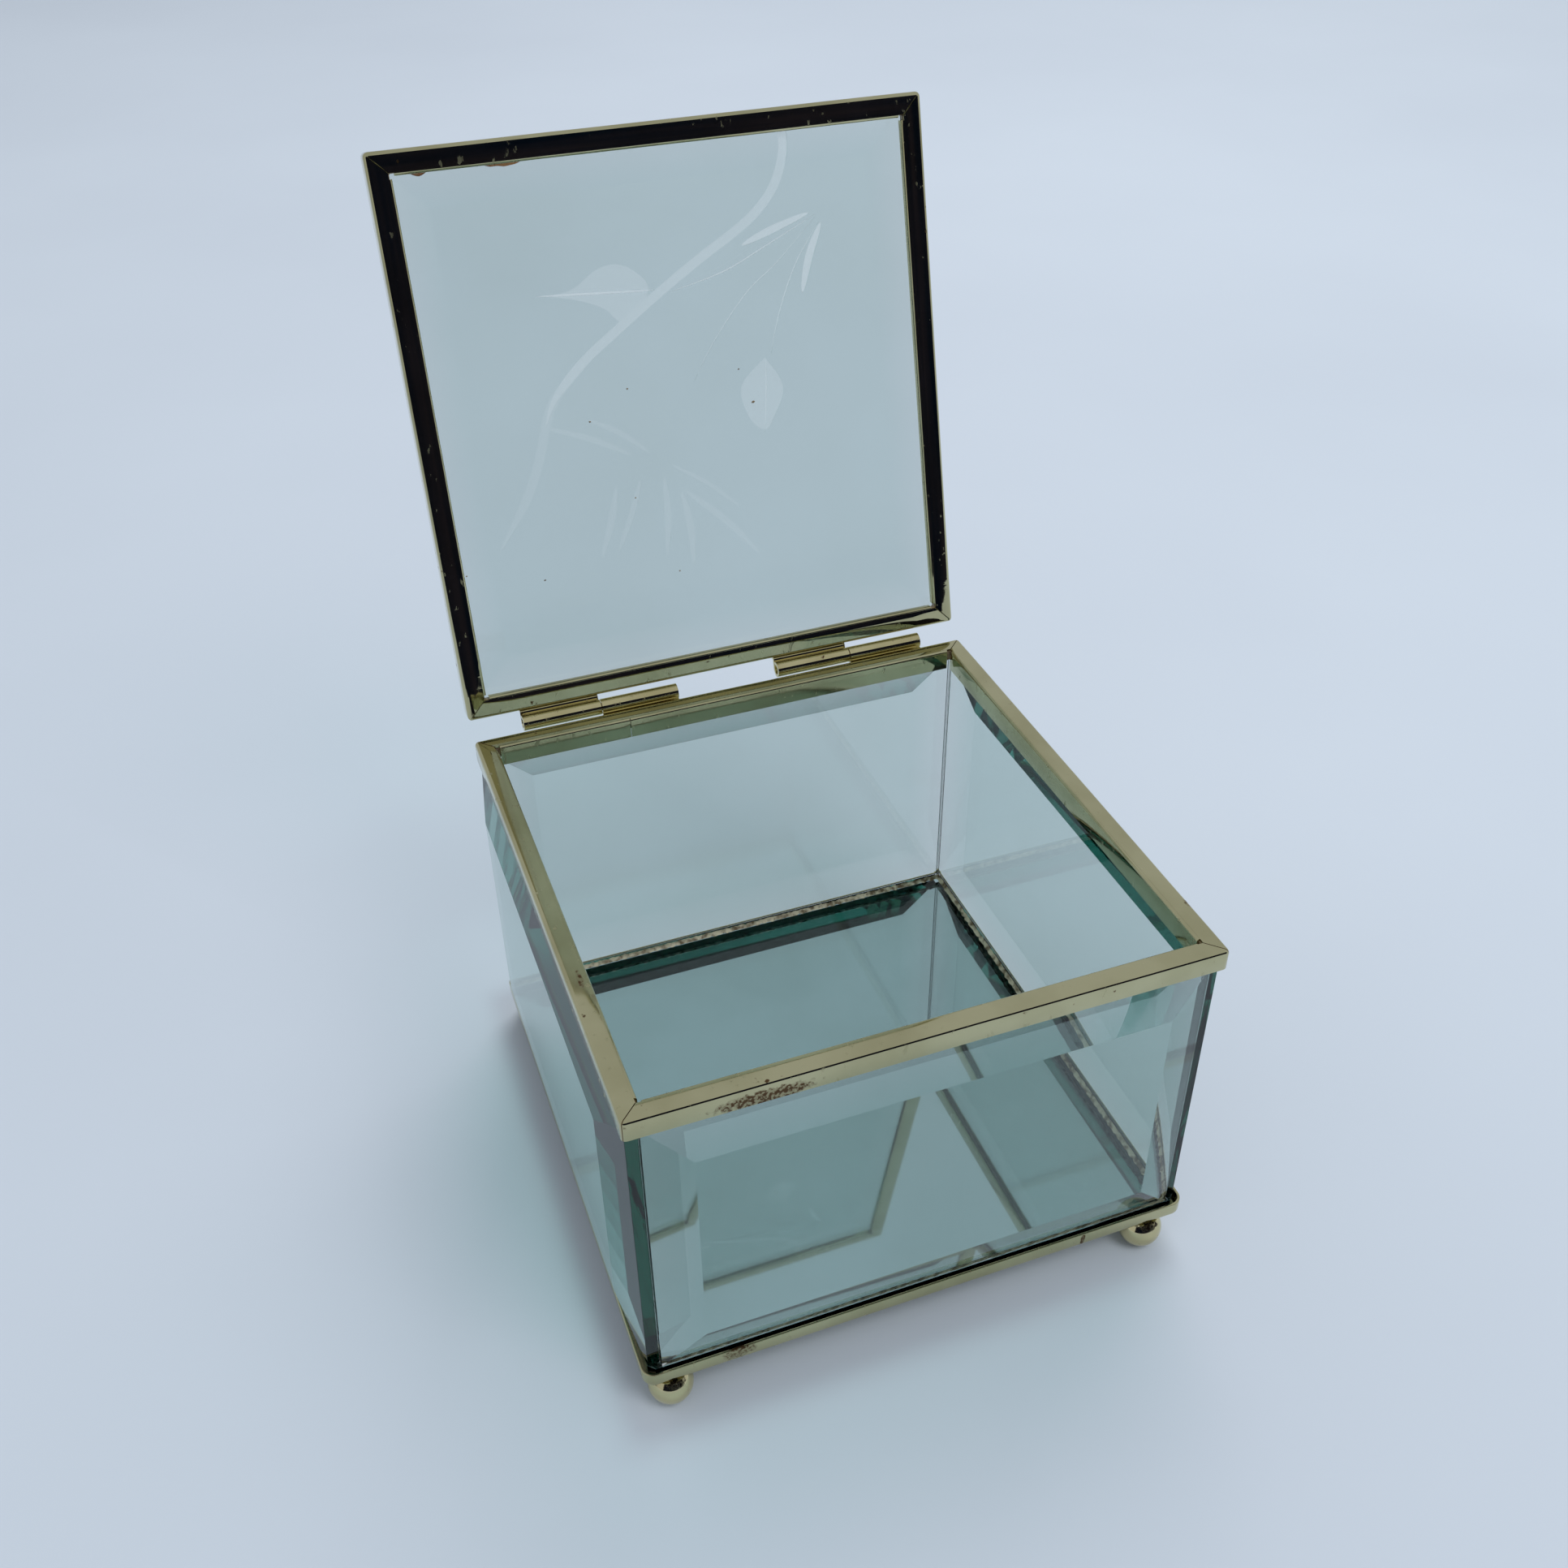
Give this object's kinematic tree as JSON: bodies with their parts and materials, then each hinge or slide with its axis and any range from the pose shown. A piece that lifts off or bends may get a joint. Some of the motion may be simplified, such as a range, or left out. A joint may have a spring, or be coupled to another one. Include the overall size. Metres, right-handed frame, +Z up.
{
  "type": "glass keepsake box",
  "caption": "Square keepsake box with bevelled glass walls in a brass rim and footed brass tray, a mirror floor, and a hinged bevelled glass lid that leans open.",
  "frame": {"origin": "middle of the whole object's footprint, open lid included, on the plane that the feet stand on", "axes": "+X to the right, +Y to the back where the hinges are, +Z up"},
  "size_m": [0.1058, 0.1376, 0.1742],
  "materials": {
    "brass": "polished sheet brass, lightly tarnished",
    "pin_brass": "drawn brass wire, dulled",
    "glass": "clear plate glass, polished bevels, green at the edges",
    "mirror_glass": "clear plate glass over silvering",
    "silvering": "silvered, painted behind",
    "glue": "old adhesive, uneven",
    "seam_glue": "clear glass adhesive"
  },
  "bodies": {
    "box": {"base_tray": "brass", "foot_front_left": "brass", "foot_front_right": "brass", "foot_back_left": "brass", "foot_back_right": "brass", "mirror_silvering": "silvering", "mirror_glass": "mirror_glass", "mirror_bead": "glue", "glass_front": "glass", "glass_back": "glass", "glass_left": "glass", "glass_right": "glass", "seam_front_left": "seam_glue", "seam_front_right": "seam_glue", "seam_back_left": "seam_glue", "seam_back_right": "seam_glue", "rim_bedding": "glue", "rim_frame": "brass", "hinge_left_rim_leaf": "brass", "hinge_left_pin": "pin_brass", "hinge_right_rim_leaf": "brass", "hinge_right_pin": "pin_brass"},
    "lid": {"lid_frame": "brass", "lid_bedding": "glue", "lid_glass": "glass", "hinge_left_lid_leaf": "brass", "hinge_right_lid_leaf": "brass"}
  },
  "joints": [
    {"name": "lid_hinge", "type": "hinge", "parent": "box", "child": "lid", "pos_m": [0, 0.03851, 0.07237], "axis": [1, 0, 0], "range_deg": [0, 104.5]}
  ]
}
